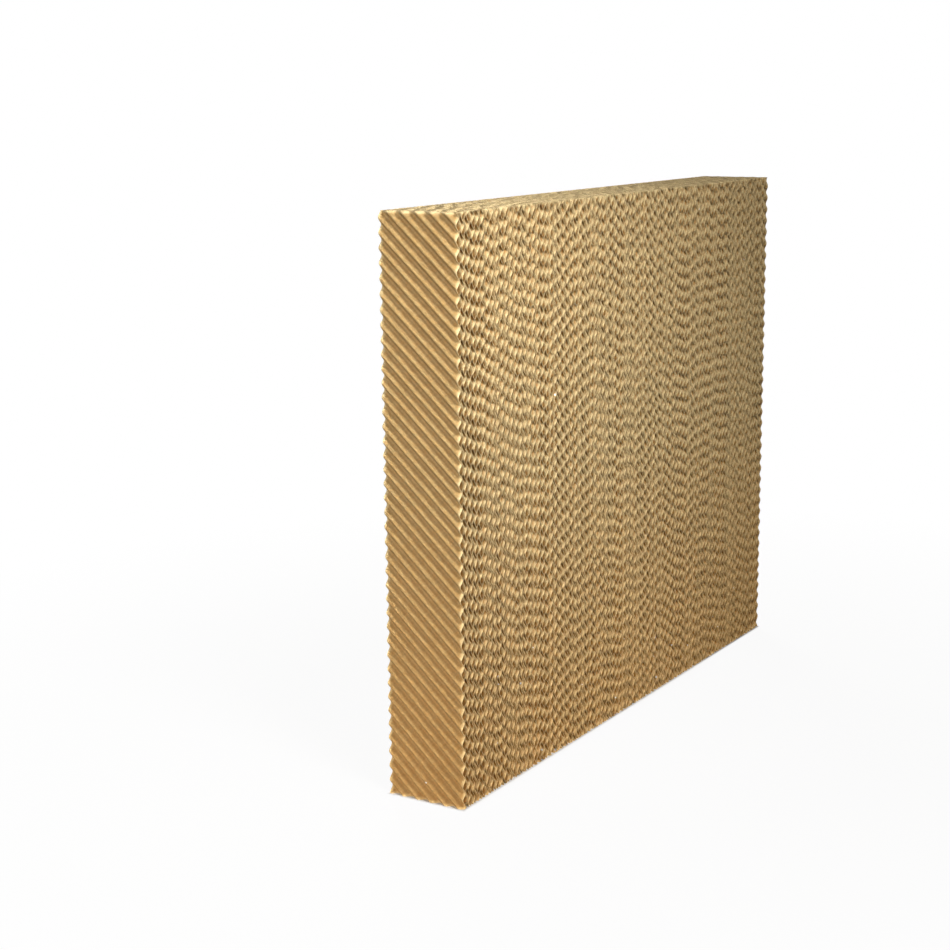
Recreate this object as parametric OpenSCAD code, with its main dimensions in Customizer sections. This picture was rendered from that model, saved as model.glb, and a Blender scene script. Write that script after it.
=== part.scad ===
// Evaporative cooling pad: a block of corrugated kraft paper sheets that stand on edge,
// side by side along X. The flutes of every second sheet run the other way, so the sheets
// cross and touch at their crests, and the block is open to air and water between them.
// Units are millimetres. The origin is at the middle of the underside, +Z is up, -Y is the
// air entry face.

/* [Pad] */
// Width of the block, across all its sheets
pad_width = 820; // [200:1:1200]
// Depth of the block, from the air entry face to the air exit face
pad_depth = 100; // [50:1:200]
// Height of the block
pad_height = 665; // [200:1:900]

/* [Flutes] */
// Height of a flute, which is the room that one corrugated sheet takes across the stack
flute_height = 7.6; // [5:0.1:12]
// Distance from crest to crest, measured straight up the face of the pad
flute_pitch = 25.5; // [18:0.5:40]
// Rise of the flutes above level, towards the back in one sheet and the front in the next
flute_angle = 42; // [30:1:60]
// Flat facets that make one flute of the two end sheets, whose faces show
end_facets = 8; // [4:2:12]
// Flat facets that make one flute of the sheets between them, of which the cut edges show
inner_facets = 2; // [2:2:4]
// How far the crests of neighbouring sheets wander up and down, in flutes
row_drift = 0.3; // [0:0.05:0.5]
// Number of sheets in one whole wander
drift_sheets = 46; // [20:1:100]

/* [Paper] */
// Thickness of the stiffened paper
paper = 0.3; // [0.2:0.05:0.6]
// Least room for the glue between the crests of two sheets
glue_gap = 0.1; // [0.05:0.05:0.3]

/* [Hidden] */
// Distance from crest to crest, square to the flutes
wave = flute_pitch * cos(flute_angle);
// An even number of sheets, so that the two ends have flutes that run opposite ways
sheet_count = 2 * floor((pad_width + glue_gap) / (2 * (flute_height + glue_gap)));
sheet_spacing = (pad_width - flute_height) / (sheet_count - 1);
// Reach of the face of a sheet from its middle, square to the flutes and along them
half_across = (pad_height * cos(flute_angle) + pad_depth * sin(flute_angle)) / 2;
half_along = (pad_height * sin(flute_angle) + pad_depth * cos(flute_angle)) / 2;
flute_count = ceil(2 * half_across / wave) + 2;
kraft = [0.80, 0.65, 0.43];
end_kraft = [0.76, 0.60, 0.39];

// Slope of the facet next to a crest, for a wave of half height 1
function crest_slope(facets) = (1 - cos(360 / facets)) * facets / wave;

// Half height of the wave in the middle of the paper. Paper of the full thickness, measured
// square to the facets, then just fills the flute height.
function wave_half_height(facets) =
  let (
    thin = pow(paper * crest_slope(facets) / 2, 2),
    room = (1 - thin) * (pow(flute_height, 2) - pow(paper, 2))
  )
  (flute_height - sqrt(pow(flute_height, 2) - room)) / (2 * (1 - thin));

// Place of corner k of the wave across the sheet, with a crest at k = 0
function wave_x(k, facets) = wave_half_height(facets) * cos(360 * k / facets);

// Slope of the facet that starts at corner k
function wave_slope(k, facets) = (wave_x(k + 1, facets) - wave_x(k, facets)) * facets / wave;

// Half the paper at corner k, measured across the sheet
function half_paper(k, facets) =
  paper / 2 * sqrt(1 + (pow(wave_slope(k - 1, facets), 2) + pow(wave_slope(k, facets), 2)) / 2);

// Height of the lowest crest of sheet i on the air entry face
function crest_height(i) = flute_pitch * ((i % 2) / 2 + row_drift * sin(360 * i / drift_sheets));

// The waved band of paper, seen along the flutes, with a crest at v = start
module wave_section(start, facets) {
  corners = [-facets : flute_count * facets];
  side = [for (k = corners) [wave_x(k, facets) + half_paper(k, facets), start + k * wave / facets]];
  other = [for (k = corners) [wave_x(k, facets) - half_paper(k, facets), start + k * wave / facets]];
  polygon(concat(side, [for (k = [len(other) - 1 : -1 : 0]) other[k]]));
}

// A sheet about x = 0 whose flutes rise towards the back, cut to the faces of the pad.
// start is the place of its lowest crest, square to the flutes, from the middle of the sheet.
module cut_sheet(start, facets) {
  intersection() {
    translate([0, 0, pad_height / 2])
      rotate([90 + flute_angle, 0, 0])
        linear_extrude(height = 2 * (half_along + wave), center = true)
          wave_section(start, facets);
    translate([-flute_height, -pad_depth / 2, 0])
      cube([2 * flute_height, pad_depth, pad_height]);
  }
}

// Sheet i of the stack, counted from the left: even sheets rise towards the back
module sheet(i, facets) {
  falling = i % 2 == 1;
  entry = (falling ? -1 : 1) * pad_depth / 2 * sin(flute_angle) - pad_height / 2 * cos(flute_angle);
  crest = entry + crest_height(i) * cos(flute_angle);
  // Whole flutes are taken off the place of the crest until it lies below the sheet
  below = ceil((crest + half_across) / wave) * wave;
  translate([(flute_height - pad_width) / 2 + i * sheet_spacing, 0, 0])
    mirror([0, falling ? 1 : 0, 0])
      cut_sheet(crest - below, facets);
}

// Every second sheet between the end sheets, from sheet first, in one third of the width
module inner_sheets(first, third) {
  for (i = [first : 2 : sheet_count - 2])
    if (floor(3 * i / sheet_count) == third) sheet(i, inner_facets);
}

module left_end_sheet() { color(end_kraft) sheet(0, end_facets); }
module right_end_sheet() { color(end_kraft) sheet(sheet_count - 1, end_facets); }
module rising_sheets_left() { color(kraft) inner_sheets(2, 0); }
module rising_sheets_middle() { color(kraft) inner_sheets(2, 1); }
module rising_sheets_right() { color(kraft) inner_sheets(2, 2); }
module falling_sheets_left() { color(kraft) inner_sheets(1, 0); }
module falling_sheets_middle() { color(kraft) inner_sheets(1, 1); }
module falling_sheets_right() { color(kraft) inner_sheets(1, 2); }

left_end_sheet();
right_end_sheet();
rising_sheets_left();
rising_sheets_middle();
rising_sheets_right();
falling_sheets_left();
falling_sheets_middle();
falling_sheets_right();
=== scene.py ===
"""Looks of an evaporative cooling pad: a block of corrugated kraft paper sheets with crossing flutes.

Lengths are in metres. The sheets stand side by side along X, -Y is the air entry face and +Z is up.
"""
import math

import bpy
import numpy as np
from mathutils import Matrix, Vector


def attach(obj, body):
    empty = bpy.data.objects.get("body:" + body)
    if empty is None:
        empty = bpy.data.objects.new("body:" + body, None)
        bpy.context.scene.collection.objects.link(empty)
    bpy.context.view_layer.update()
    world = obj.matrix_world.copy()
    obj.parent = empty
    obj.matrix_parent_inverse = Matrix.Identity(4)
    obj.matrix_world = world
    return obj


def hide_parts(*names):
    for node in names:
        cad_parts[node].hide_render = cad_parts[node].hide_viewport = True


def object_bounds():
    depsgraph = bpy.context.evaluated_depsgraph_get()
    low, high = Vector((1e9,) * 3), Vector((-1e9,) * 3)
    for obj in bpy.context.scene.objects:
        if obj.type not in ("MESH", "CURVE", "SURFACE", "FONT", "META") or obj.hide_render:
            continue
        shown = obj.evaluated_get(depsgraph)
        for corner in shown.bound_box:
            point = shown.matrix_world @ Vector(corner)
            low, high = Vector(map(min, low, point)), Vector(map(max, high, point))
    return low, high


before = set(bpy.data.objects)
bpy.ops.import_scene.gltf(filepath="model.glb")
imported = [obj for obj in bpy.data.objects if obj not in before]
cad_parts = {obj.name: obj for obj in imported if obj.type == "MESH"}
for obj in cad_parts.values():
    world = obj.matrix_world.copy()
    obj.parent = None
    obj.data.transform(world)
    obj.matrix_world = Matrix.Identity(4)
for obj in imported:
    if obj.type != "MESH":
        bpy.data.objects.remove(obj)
cad_low, cad_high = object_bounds()

MM = 0.001
SEED = 11

# Sheets and flutes. Sheet 0 is at the left end, and even sheets rise towards the back.
SHEET_COUNT = 166
THIRDS = ("left", "middle", "right")
END_HEIGHT = 6.0 * MM
FLUTE_PITCH = 16.4 * MM
FLUTE_ANGLE = math.radians(42)
PAPER = 0.30 * MM
GLUE_GAP = 0.06 * MM
INNER_FACETS = 8
END_FACETS = 20
SHARP_ANGLE = math.radians(50)

# Rows of flute mouths. From one sheet of a kind to the next they climb or fall by about ROW_SLOPE
# flutes, and ROW_STARTS says which way rising and falling sheets go at the left end.
ROW_SLOPE = 0.32
ROW_STARTS = (2.0, -1.5)
ROW_KEEP = 0.68
ROW_STEP = 1.4
ROW_SCATTER = 0.09

# Unevenness of the flutes, in flutes for stretches and bends and as a share of the height for swells
STRETCH_KEEP = 0.4
STRETCH_STEP = 0.35
BEND = 0.16
BEND_LENGTHS = (0.52, 0.34, 0.21, 0.10)
SWELL = 0.05
SWELL_LENGTHS = (0.23, 0.07)

# Unevenness of the cuts, and how much of each pointed corner of a sheet is left off
CUT_WANDER = 0.4 * MM
FIRST_CUT_LENGTHS = (0.050, 0.023, 0.011)
LAST_CUT_LENGTHS = (0.047, 0.021, 0.012)
CORNER_TIP = 0.3 * MM

# Step between the places that neighbouring sheets have on the pattern of the paper
PATTERN_STEP = 0.05

# Colours of the paper. Those after SPECK multiply the colour under them.
INNER_LIGHT = (0.53, 0.335, 0.139)
INNER_DARK = (0.37, 0.221, 0.086)
# The end sheets are the same paper as the inner ones. Their colours, and OUTER_SHADE, are tuned apart to how
# the end faces are lit, as painted light and shade.
OUTER_LIGHT = (0.49, 0.340, 0.157)
OUTER_DARK = (0.405, 0.270, 0.118)
# Paler cut fibres, and painted light on the lit cut edges and mouths of the flutes
PALE_CUT_AND_LIGHT = (0.82, 0.67, 0.38)
SPECK = (0.86, 0.85, 0.82)
# Painted shade: darker undersides of the flutes, darkest close under the crests
INNER_SHADE = (0.80, 0.77, 0.72)
OUTER_SHADE = (0.84, 0.81, 0.77)
CREST_SHADE = (0.70, 0.66, 0.61)
# Painted light in the troughs
TROUGH_LIGHT = (1.14, 1.14, 1.14)
STAIN = (1.0, 0.92, 0.80)
STROKE = (0.72, 0.70, 0.66)
GRAIN = (0.76, 0.72, 0.66)
# Painted light: the paper brighter and warmer low down
PAINTED_LIGHT_LOW = (1.10, 0.96, 0.80)
PAINTED_LIGHT_LOW_HEIGHT = 0.36

# Studio
FLOOR_SIZE = 12.0
FLOOR_GREY = (0.75, 0.75, 0.75, 1.0)
FLOOR_SHADE_END = 3.0 * MM
WHITE = (1.0, 1.0, 1.0, 1.0)
WORLD_COLOUR = (1.0, 0.95, 0.89, 1.0)
WORLD_STRENGTH = 0.015
WARM_LAMP = (1.0, 0.95, 0.86)

# Camera, fitted to the corners of the pad
CAMERA_PLACE = Vector((-2.0005, -1.0761, 0.7905))
CAMERA_AZIMUTH = math.radians(-57.691)
CAMERA_ELEVATION = math.radians(12.096)
CAMERA_ROLL = math.radians(-0.59)
CAMERA_LENS = 68.11
CAMERA_SENSOR = 36.0

pad_width = cad_high.x - cad_low.x
pad_depth = cad_high.y - cad_low.y
pad_height = cad_high.z - cad_low.z
spacing = (pad_width - 2 * END_HEIGHT) / (SHEET_COUNT - 2)
slant_sin = math.sin(FLUTE_ANGLE)
slant_cos = math.cos(FLUTE_ANGLE)
# Distance from crest to crest, square to the flutes
wave = FLUTE_PITCH * slant_cos


# Shape of the sheets

def drift(rng, count, keep, step, start=0.0):
    """A run of numbers in which each keeps a share of the one before and adds a random step."""
    steps = rng.normal(0.0, step, count)
    values = np.full(count, start)
    for i in range(1, count):
        values[i] = keep * values[i - 1] + steps[i]
    return values


def smooth_noise(rng, places, lengths, amount):
    """A sum of sines with the given wavelengths, each shifted at random."""
    total = np.zeros_like(places)
    for length in lengths:
        total += np.sin(places * (2 * math.pi / length) + rng.uniform(0, 2 * math.pi))
    return amount * total / len(lengths)


def sheet_phases(rng):
    """Where the crests of each sheet lie and how far its flutes are stretched, in flutes.

    From sheet to sheet the crests of one kind climb or fall together, in runs of a few.
    """
    half = SHEET_COUNT // 2
    phases = np.zeros(SHEET_COUNT)
    stretches = np.zeros(SHEET_COUNT)
    for kind in (0, 1):
        turns = np.tanh(drift(rng, half, ROW_KEEP, ROW_STEP, ROW_STARTS[kind]))
        slips = ROW_SLOPE * turns + rng.normal(0.0, ROW_SCATTER, half)
        phases[kind::2] = kind / 2 + np.cumsum(slips)
        stretches[kind::2] = drift(rng, half, STRETCH_KEEP, STRETCH_STEP)
    return phases, stretches


def sheet_room(index):
    """Middle of a sheet across the stack and the room that it takes there."""
    if index == 0:
        return cad_low.x + END_HEIGHT / 2, END_HEIGHT
    if index == SHEET_COUNT - 1:
        return cad_high.x - END_HEIGHT / 2, END_HEIGHT
    return cad_low.x + END_HEIGHT + (index - 0.5) * spacing, spacing


def rulings(facets):
    """Places across the flutes of the straight lines that make up a sheet, corners included."""
    half = pad_depth / 2 * slant_sin
    rise = pad_height * slant_cos
    low = -half + CORNER_TIP
    high = half + rise - CORNER_TIP
    count = int(math.ceil((high - low) / wave * facets))
    return np.unique(np.concatenate([np.linspace(low, high, count), [half, rise - half]]))


def flute_shape(rng, across, room, phase, stretch):
    """Angle of the wave at each ruling, the middle of the paper there and half the paper's thickness."""
    reach = across[-1] - across[0]
    turn = across / wave + phase + stretch * ((across - across[0]) / reach - 0.5)
    turn += smooth_noise(rng, across, BEND_LENGTHS, BEND)
    angle = 2 * math.pi * turn
    full = (room - GLUE_GAP) / 2
    # Paper slopes most where the wave crosses the middle, and is thickest there across the sheet
    slope = 2 * math.pi * full / wave * np.cos(angle)
    half_paper = PAPER / 2 * np.sqrt(1 + slope ** 2)
    swell = 1 - SWELL * (1 + smooth_noise(rng, across, SWELL_LENGTHS, 1.0))
    middle = (full - PAPER / 2) * swell * np.sin(angle)
    return angle, middle, half_paper


def cut_ends(rng, across):
    """Places along the flutes where each ruling starts and ends, at the cut edges of the sheet."""
    first = np.maximum((-pad_depth / 2 + across * slant_sin) / slant_cos, -across * slant_cos / slant_sin)
    last = np.minimum((pad_depth / 2 + across * slant_sin) / slant_cos,
                      (pad_height - across * slant_cos) / slant_sin)
    # A ruling is shortened by a quarter of its length at most at each end
    spare = np.clip(last - first, 0, 4 * CUT_WANDER) / 4
    first = first + spare * np.abs(smooth_noise(rng, across, FIRST_CUT_LENGTHS, 1.0))
    last = last - spare * np.abs(smooth_noise(rng, across, LAST_CUT_LENGTHS, 1.0))
    return first, last


def sheet_faces(count):
    """Faces of a closed sheet of count rulings: the first and last ends of one side, then of the other."""
    k = np.arange(count - 1)
    near_first, near_last, far_first, far_last = (k + n * count for n in range(4))
    return np.concatenate([
        np.stack([near_first, near_first + 1, near_last + 1, near_last], axis=1),
        np.stack([far_first, far_last, far_last + 1, far_first + 1], axis=1),
        np.stack([near_first, far_first, far_first + 1, near_first + 1], axis=1),
        np.stack([near_last, near_last + 1, far_last + 1, far_last], axis=1),
        np.array([[0, count, 3 * count, 2 * count]]),
        np.array([[count - 1, 3 * count - 1, 4 * count - 1, 2 * count - 1]]),
    ])


def make_sheet(rng, index, phase, stretch, facets):
    """One closed sheet in its place in the block: corners, faces, places on the paper, folds and tint.

    The folds are how far a point of the paper faces up and how far it stands out.
    """
    across = rulings(facets)
    centre, room = sheet_room(index)
    angle, middle, half_paper = flute_shape(rng, across, room, phase, stretch)
    first, last = cut_ends(rng, across)
    hand = -1 if index % 2 else 1
    pattern = np.full(len(across), PATTERN_STEP * index)
    corners, on_paper, folds = [], [], []
    for side in (1, -1):
        for along in (first, last):
            x = centre + middle + side * half_paper
            y = hand * (-across * slant_sin + along * slant_cos)
            z = cad_low.z + across * slant_cos + along * slant_sin
            corners.append(np.stack([x, y, z], axis=1))
            on_paper.append(np.stack([along, across, pattern], axis=1))
            facing_up = -side * np.cos(angle)
            standing_out = side * np.sin(angle)
            folds.append(np.stack([facing_up, standing_out, np.zeros_like(angle)], axis=1))
    faces = sheet_faces(len(across))
    # The sheets that aren't mirrored are turned, so that all faces point out of the paper
    if hand > 0:
        faces = faces[:, ::-1]
    return {
        "corners": np.concatenate(corners),
        "faces": faces,
        "on_paper": np.concatenate(on_paper),
        "folds": np.concatenate(folds),
        "tint": rng.uniform(0, 1),
    }


def paper_object(name, sheets, material):
    """One object made of several sheets."""
    sizes = [len(sheet["corners"]) for sheet in sheets]
    starts = np.cumsum([0] + sizes[:-1])
    corners = np.concatenate([sheet["corners"] for sheet in sheets])
    faces = np.concatenate([sheet["faces"] + start for sheet, start in zip(sheets, starts)])
    tints = np.concatenate([np.full(size, sheet["tint"]) for sheet, size in zip(sheets, sizes)])
    mesh = bpy.data.meshes.new(name)
    mesh.vertices.add(len(corners))
    mesh.vertices.foreach_set("co", corners.astype(np.float32).ravel())
    mesh.loops.add(faces.size)
    mesh.loops.foreach_set("vertex_index", faces.astype(np.int32).ravel())
    mesh.polygons.add(len(faces))
    mesh.polygons.foreach_set("loop_start", np.arange(0, faces.size, 4, dtype=np.int32))
    mesh.update(calc_edges=True)
    mesh.validate()
    tint = mesh.attributes.new("tint", "FLOAT", "POINT")
    tint.data.foreach_set("value", tints.astype(np.float32))
    for attribute in ("on_paper", "folds"):
        vectors = np.concatenate([sheet[attribute] for sheet in sheets])
        layer = mesh.attributes.new(attribute, "FLOAT_VECTOR", "POINT")
        layer.data.foreach_set("vector", vectors.astype(np.float32).ravel())
    mesh.shade_smooth()
    mesh.set_sharp_from_angle(angle=SHARP_ANGLE)
    mesh.materials.append(material)
    obj = bpy.data.objects.new(name, mesh)
    bpy.context.scene.collection.objects.link(obj)
    return obj


# Nodes of the materials

def new_material(name):
    material = bpy.data.materials.new(name)
    material.use_nodes = True
    tree = material.node_tree
    tree.nodes.clear()
    return material, tree


def add(tree, kind, **settings):
    """A node with its settings, and its inputs where the setting's name is an input's."""
    node = tree.nodes.new(kind)
    for key, value in settings.items():
        if key in node.inputs:
            node.inputs[key].default_value = value
        else:
            setattr(node, key, value)
    return node


def math_node(tree, operation, first, second=0.0):
    node = add(tree, "ShaderNodeMath", operation=operation)
    for socket, value in zip(node.inputs, (first, second)):
        if isinstance(value, (int, float)):
            socket.default_value = value
        else:
            tree.links.new(value, socket)
    return node.outputs[0]


def mix_colour(tree, factor, first, second, blend="MIX"):
    node = add(tree, "ShaderNodeMix", data_type="RGBA", blend_type=blend)
    for name, value in (("Factor", factor), ("A", first), ("B", second)):
        socket = [s for s in node.inputs if s.name == name and s.enabled][0]
        if isinstance(value, tuple):
            socket.default_value = (*value, 1.0)
        else:
            tree.links.new(value, socket)
    return [s for s in node.outputs if s.enabled][0]


def multiply(tree, factor, colour, by):
    return mix_colour(tree, factor, colour, by, "MULTIPLY")


def noise(tree, coordinates, scale, detail, roughness=0.55):
    node = add(tree, "ShaderNodeTexNoise", Scale=scale, Detail=detail, Roughness=roughness)
    tree.links.new(coordinates, node.inputs["Vector"])
    return node.outputs["Fac"]


def ramp(tree, value, low, high, to_low=0.0, to_high=1.0):
    """A value that goes from to_low, where the given one is low, to to_high, where it is high."""
    node = add(tree, "ShaderNodeMapRange", clamp=True)
    for name, number in (("From Min", low), ("From Max", high), ("To Min", to_low), ("To Max", to_high)):
        node.inputs[name].default_value = number
    tree.links.new(value, node.inputs["Value"])
    return node.outputs["Result"]


def separate(tree, vector):
    node = add(tree, "ShaderNodeSeparateXYZ")
    tree.links.new(vector, node.inputs[0])
    return node.outputs


def attribute(tree, name, output):
    return add(tree, "ShaderNodeAttribute", attribute_name=name).outputs[output]


def object_place(tree):
    return add(tree, "ShaderNodeTexCoord").outputs["Object"]


def seen_directly(tree):
    """1 for what the camera sees, also in a gloss or through glass, and 0 for what lights the object."""
    path = add(tree, "ShaderNodeLightPath")
    seen = math_node(tree, "MAXIMUM", path.outputs["Is Camera Ray"], path.outputs["Is Glossy Ray"])
    return math_node(tree, "MAXIMUM", seen, path.outputs["Is Transmission Ray"])


def mix_shaders(tree, factor, first, second, output):
    mix = add(tree, "ShaderNodeMixShader")
    tree.links.new(factor, mix.inputs["Fac"])
    tree.links.new(first.outputs[0], mix.inputs[1])
    tree.links.new(second.outputs[0], mix.inputs[2])
    tree.links.new(mix.outputs[0], output.inputs["Surface"])


# Paper

def edge_distance(tree, place):
    """Distance of a point of the paper from the nearest cut face of the block."""
    axes = separate(tree, place)
    deep = math_node(tree, "ABSOLUTE", axes["Y"])
    deep = math_node(tree, "SUBTRACT", pad_depth / 2, deep)
    high = math_node(tree, "SUBTRACT", axes["Z"], (cad_low.z + cad_high.z) / 2)
    high = math_node(tree, "ABSOLUTE", high)
    high = math_node(tree, "SUBTRACT", pad_height / 2, high)
    return math_node(tree, "MINIMUM", deep, high)


def specks(tree, place, height):
    """A few white specks, most of them low down."""
    cells = add(tree, "ShaderNodeTexVoronoi", Scale=60.0)
    tree.links.new(place, cells.inputs["Vector"])
    split = add(tree, "ShaderNodeSeparateColor")
    tree.links.new(cells.outputs["Color"], split.inputs[0])
    chance = ramp(tree, height, cad_low.z + 0.02, cad_low.z + 0.20, to_low=0.40, to_high=0.01)
    picked = math_node(tree, "LESS_THAN", split.outputs["Red"], chance)
    within = math_node(tree, "LESS_THAN", cells.outputs["Distance"], 0.09)
    return math_node(tree, "MULTIPLY", picked, within)


def stroke_noise(tree):
    """Strokes that run across the flutes and are short along them."""
    longer = add(tree, "ShaderNodeVectorMath", operation="MULTIPLY")
    longer.inputs[1].default_value = (1.0, 0.2, 1.0)
    tree.links.new(attribute(tree, "on_paper", "Vector"), longer.inputs[0])
    return noise(tree, longer.outputs[0], scale=420.0, detail=2.0)


def fold_shades(tree, colour, facing_up, standing_out, shade):
    """The colour with painted shade on the undersides, most of all close under the crests, and painted light
    in the troughs.
    """
    # Painted shade on the undersides, and more of it close under the crests
    under = ramp(tree, facing_up, -0.95, -0.45, to_low=1.0, to_high=0.0)
    colour = multiply(tree, under, colour, shade)
    under = ramp(tree, facing_up, -0.7, -0.3, to_low=1.0, to_high=0.0)
    under_crest = math_node(tree, "MULTIPLY", under, ramp(tree, standing_out, 0.1, 0.5))
    colour = multiply(tree, under_crest, colour, CREST_SHADE)
    # Painted light in the troughs
    trough = ramp(tree, standing_out, -1.0, -0.6, to_low=1.0, to_high=0.0)
    return multiply(tree, trough, colour, TROUGH_LIGHT)


def kraft_paper(name, light, dark, shade):
    """Stiffened kraft paper: mottled tan with fine strokes, paler near the cuts, with painted shade under
    the flutes and painted light in the troughs and low down.
    """
    material, tree = new_material(name)
    place = object_place(tree)
    height = separate(tree, place)["Z"]
    fold = separate(tree, attribute(tree, "folds", "Vector"))
    facing_up, standing_out = fold["X"], fold["Y"]
    strokes = stroke_noise(tree)
    mottle = noise(tree, place, scale=22.0, detail=3.0)
    fibre = noise(tree, place, scale=900.0, detail=3.0, roughness=0.7)
    stain = noise(tree, place, scale=260.0, detail=2.0)
    # The tone goes from dark to light with the mottle and the sheet's own tint, and painted light makes it
    # lighter in the depth of a trough
    tone = ramp(tree, mottle, 0.3, 0.7, to_high=0.45)
    tone = math_node(tree, "ADD", tone, math_node(tree, "MULTIPLY", attribute(tree, "tint", "Fac"), 0.55))
    tone = math_node(tree, "ADD", tone, ramp(tree, standing_out, -1.0, -0.5, to_low=0.5, to_high=0.0))
    colour = mix_colour(tree, tone, dark, light)
    colour = multiply(tree, ramp(tree, stain, 0.38, 0.62), colour, STAIN)
    colour = fold_shades(tree, colour, facing_up, standing_out, shade)
    # The paper pales towards a cut, to an uneven depth: partly paler cut fibres, partly painted light on the
    # lit cut edges and the mouths of the flutes
    uneven = ramp(tree, stain, 0.3, 0.7, to_low=-0.5 * MM, to_high=0.5 * MM)
    depth = math_node(tree, "ADD", edge_distance(tree, place), uneven)
    pale = ramp(tree, depth, 0.6 * MM, 3.2 * MM, to_low=0.85, to_high=0.0)
    colour = mix_colour(tree, pale, colour, PALE_CUT_AND_LIGHT)
    # Strokes, fibres, painted light that makes the paper brighter and warmer low down, and specks lie over
    # all of it
    colour = multiply(tree, ramp(tree, strokes, 0.35, 0.65, to_low=0.5, to_high=0.0), colour, STROKE)
    colour = multiply(tree, ramp(tree, fibre, 0.38, 0.62, to_low=0.6, to_high=0.0), colour, GRAIN)
    # Painted light: brighter and warmer towards the bottom
    painted_light_low = ramp(tree, height, cad_low.z, cad_low.z + PAINTED_LIGHT_LOW_HEIGHT, to_low=1.0, to_high=0.0)
    colour = multiply(tree, painted_light_low, colour, PAINTED_LIGHT_LOW)
    colour = mix_colour(tree, specks(tree, place, height), colour, SPECK)
    shader = add(tree, "ShaderNodeBsdfPrincipled")
    shader.inputs["Specular IOR Level"].default_value = 0.1
    bump = add(tree, "ShaderNodeBump", Strength=0.4, Distance=0.15 * MM)
    output = add(tree, "ShaderNodeOutputMaterial")
    tree.links.new(colour, shader.inputs["Base Color"])
    tree.links.new(ramp(tree, fibre, 0.2, 0.8, to_low=0.60, to_high=0.80), shader.inputs["Roughness"])
    tree.links.new(strokes, bump.inputs["Height"])
    tree.links.new(bump.outputs[0], shader.inputs["Normal"])
    tree.links.new(shader.outputs[0], output.inputs["Surface"])
    return material


def sheet_node(index):
    """Name of the frame's node that a sheet belongs to."""
    if index == 0:
        return "left_end_sheet"
    if index == SHEET_COUNT - 1:
        return "right_end_sheet"
    kind = "falling" if index % 2 else "rising"
    third = THIRDS[len(THIRDS) * index // SHEET_COUNT]
    return f"{kind}_sheets_{third}"


def make_sheets():
    rng = np.random.default_rng(SEED)
    phases, stretches = sheet_phases(rng)
    inner = kraft_paper("kraft_paper", INNER_LIGHT, INNER_DARK, INNER_SHADE)
    # The end sheets are the same paper, with colours tuned apart as painted light and shade
    outer = kraft_paper("end_sheet_paper", OUTER_LIGHT, OUTER_DARK, OUTER_SHADE)
    groups = {}
    for index in range(SHEET_COUNT):
        node = sheet_node(index)
        facets = END_FACETS if node.endswith("end_sheet") else INNER_FACETS
        sheet = make_sheet(rng, index, phases[index], stretches[index], facets)
        groups.setdefault(node, []).append(sheet)
    for node, sheets in groups.items():
        end = node.endswith("end_sheet")
        piece = paper_object(f"paper_{node}", sheets, outer if end else inner)
        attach(piece, "root")
        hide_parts(node)


# Studio

def floor_material():
    """White studio floor that keeps a soft shadow and reads as white to the camera."""
    material, tree = new_material("studio_floor")
    matte = add(tree, "ShaderNodeBsdfDiffuse", Color=FLOOR_GREY)
    glow = add(tree, "ShaderNodeEmission")
    # Under the pad the floor keeps all its shade, beside the pad some, and further off it is plain white
    place = object_place(tree)
    axes = separate(tree, place)
    far = add(tree, "ShaderNodeVectorMath", operation="LENGTH")
    tree.links.new(place, far.inputs[0])
    beside = [math_node(tree, "SUBTRACT", math_node(tree, "ABSOLUTE", axes[axis]), half)
              for axis, half in (("X", pad_width / 2), ("Y", pad_depth / 2))]
    outside = ramp(tree, math_node(tree, "MAXIMUM", *beside), 0.0, FLOOR_SHADE_END)
    white = ramp(tree, far.outputs["Value"], 0.4, 1.2, to_low=0.94)
    share = math_node(tree, "MULTIPLY", seen_directly(tree), white)
    share = math_node(tree, "MULTIPLY", share, outside)
    mix_shaders(tree, share, matte, glow, add(tree, "ShaderNodeOutputMaterial"))
    return material


def make_floor():
    half = FLOOR_SIZE / 2
    corners = [(x * half, y * half, cad_low.z) for x, y in ((-1, -1), (1, -1), (1, 1), (-1, 1))]
    mesh = bpy.data.meshes.new("floor")
    mesh.from_pydata(corners, [], [(0, 1, 2, 3)])
    mesh.materials.append(floor_material())
    floor = bpy.data.objects.new("floor", mesh)
    bpy.context.scene.collection.objects.link(floor)


def make_world():
    """Weak soft light from all round, and plain white where the camera sees past the floor."""
    world = bpy.data.worlds.new("studio")
    bpy.context.scene.world = world
    world.use_nodes = True
    tree = world.node_tree
    tree.nodes.clear()
    soft = add(tree, "ShaderNodeBackground", Color=WORLD_COLOUR, Strength=WORLD_STRENGTH)
    white = add(tree, "ShaderNodeBackground", Color=WHITE, Strength=1.0)
    mix_shaders(tree, seen_directly(tree), soft, white, add(tree, "ShaderNodeOutputWorld"))


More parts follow.
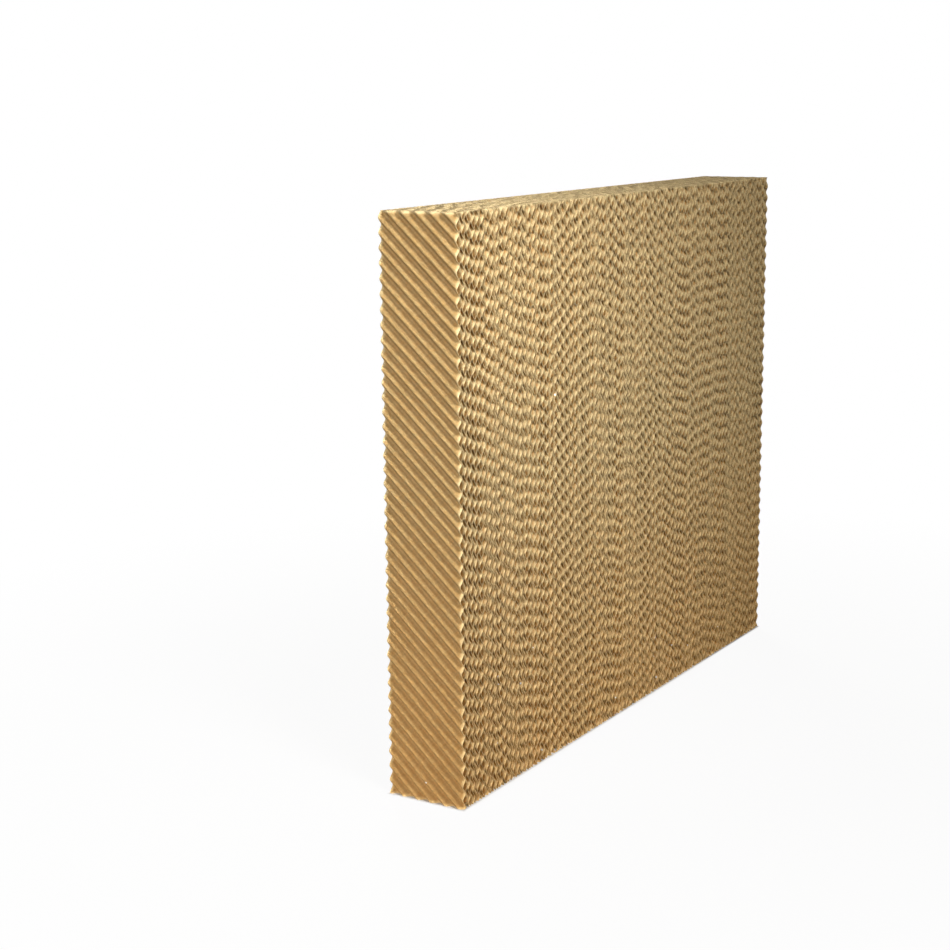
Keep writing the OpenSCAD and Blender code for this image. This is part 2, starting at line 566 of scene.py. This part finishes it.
def area_light(name, place, aim, size, power, spread=180, colour=(1.0, 1.0, 1.0)):
    """A round lamp that points at aim. The spread is in degrees."""
    data = bpy.data.lights.new(name, "AREA")
    data.shape = "DISK"
    data.size = size
    data.energy = power
    data.spread = math.radians(spread)
    data.color = colour
    lamp = bpy.data.objects.new(name, data)
    bpy.context.scene.collection.objects.link(lamp)
    lamp.location = place
    lamp.rotation_mode = "QUATERNION"
    lamp.rotation_quaternion = (Vector(aim) - Vector(place)).to_track_quat("-Z", "Y")


def make_lights():
    # Above the near corner
    area_light("key", place=(-0.78, -0.95, 1.4), aim=(-0.45, -0.05, 0.55), size=0.5, power=2.1,
               spread=56, colour=(1.0, 0.99, 0.96))
    area_light("near", place=(-0.62, -0.6, 1.05), aim=(-0.35, -0.05, 0.5), size=0.35, power=2.2,
               colour=(1.0, 0.98, 0.94))
    # On the left end
    area_light("fill", place=(-2.3, 0.1, 0.72), aim=(-0.41, 0.0, 0.33), size=1.2, power=19.0)
    # On the air entry face, straight on and from beside the camera
    area_light("front", place=(-0.2, -1.1, 0.70), aim=(-0.2, -0.05, 0.62), size=0.5, power=1.2,
               spread=110, colour=WARM_LAMP)
    area_light("side", place=(-1.8, -1.9, 1.0), aim=(-0.1, -0.05, 0.5), size=0.8, power=6.2,
               spread=110, colour=WARM_LAMP)
    # On the back and the right end
    area_light("back", place=(1.9, 1.8, 0.8), aim=(0.1, 0.05, 0.33), size=1.2, power=75.0,
               colour=(1.0, 0.97, 0.92))


def make_camera():
    data = bpy.data.cameras.new("camera")
    data.lens = CAMERA_LENS
    data.sensor_width = CAMERA_SENSOR
    camera = bpy.data.objects.new("camera", data)
    bpy.context.scene.collection.objects.link(camera)
    flat = math.cos(CAMERA_ELEVATION)
    back = Vector((
        math.sin(CAMERA_AZIMUTH) * flat,
        -math.cos(CAMERA_AZIMUTH) * flat,
        math.sin(CAMERA_ELEVATION),
    ))
    turn = (-back).to_track_quat("-Z", "Y").to_matrix().to_4x4()
    camera.matrix_world = Matrix.Translation(CAMERA_PLACE) @ turn @ Matrix.Rotation(CAMERA_ROLL, 4, "Z")
    bpy.context.scene.camera = camera


make_camera()
make_sheets()
make_floor()
make_world()
make_lights()
bpy.context.scene.view_settings.view_transform = "Standard"
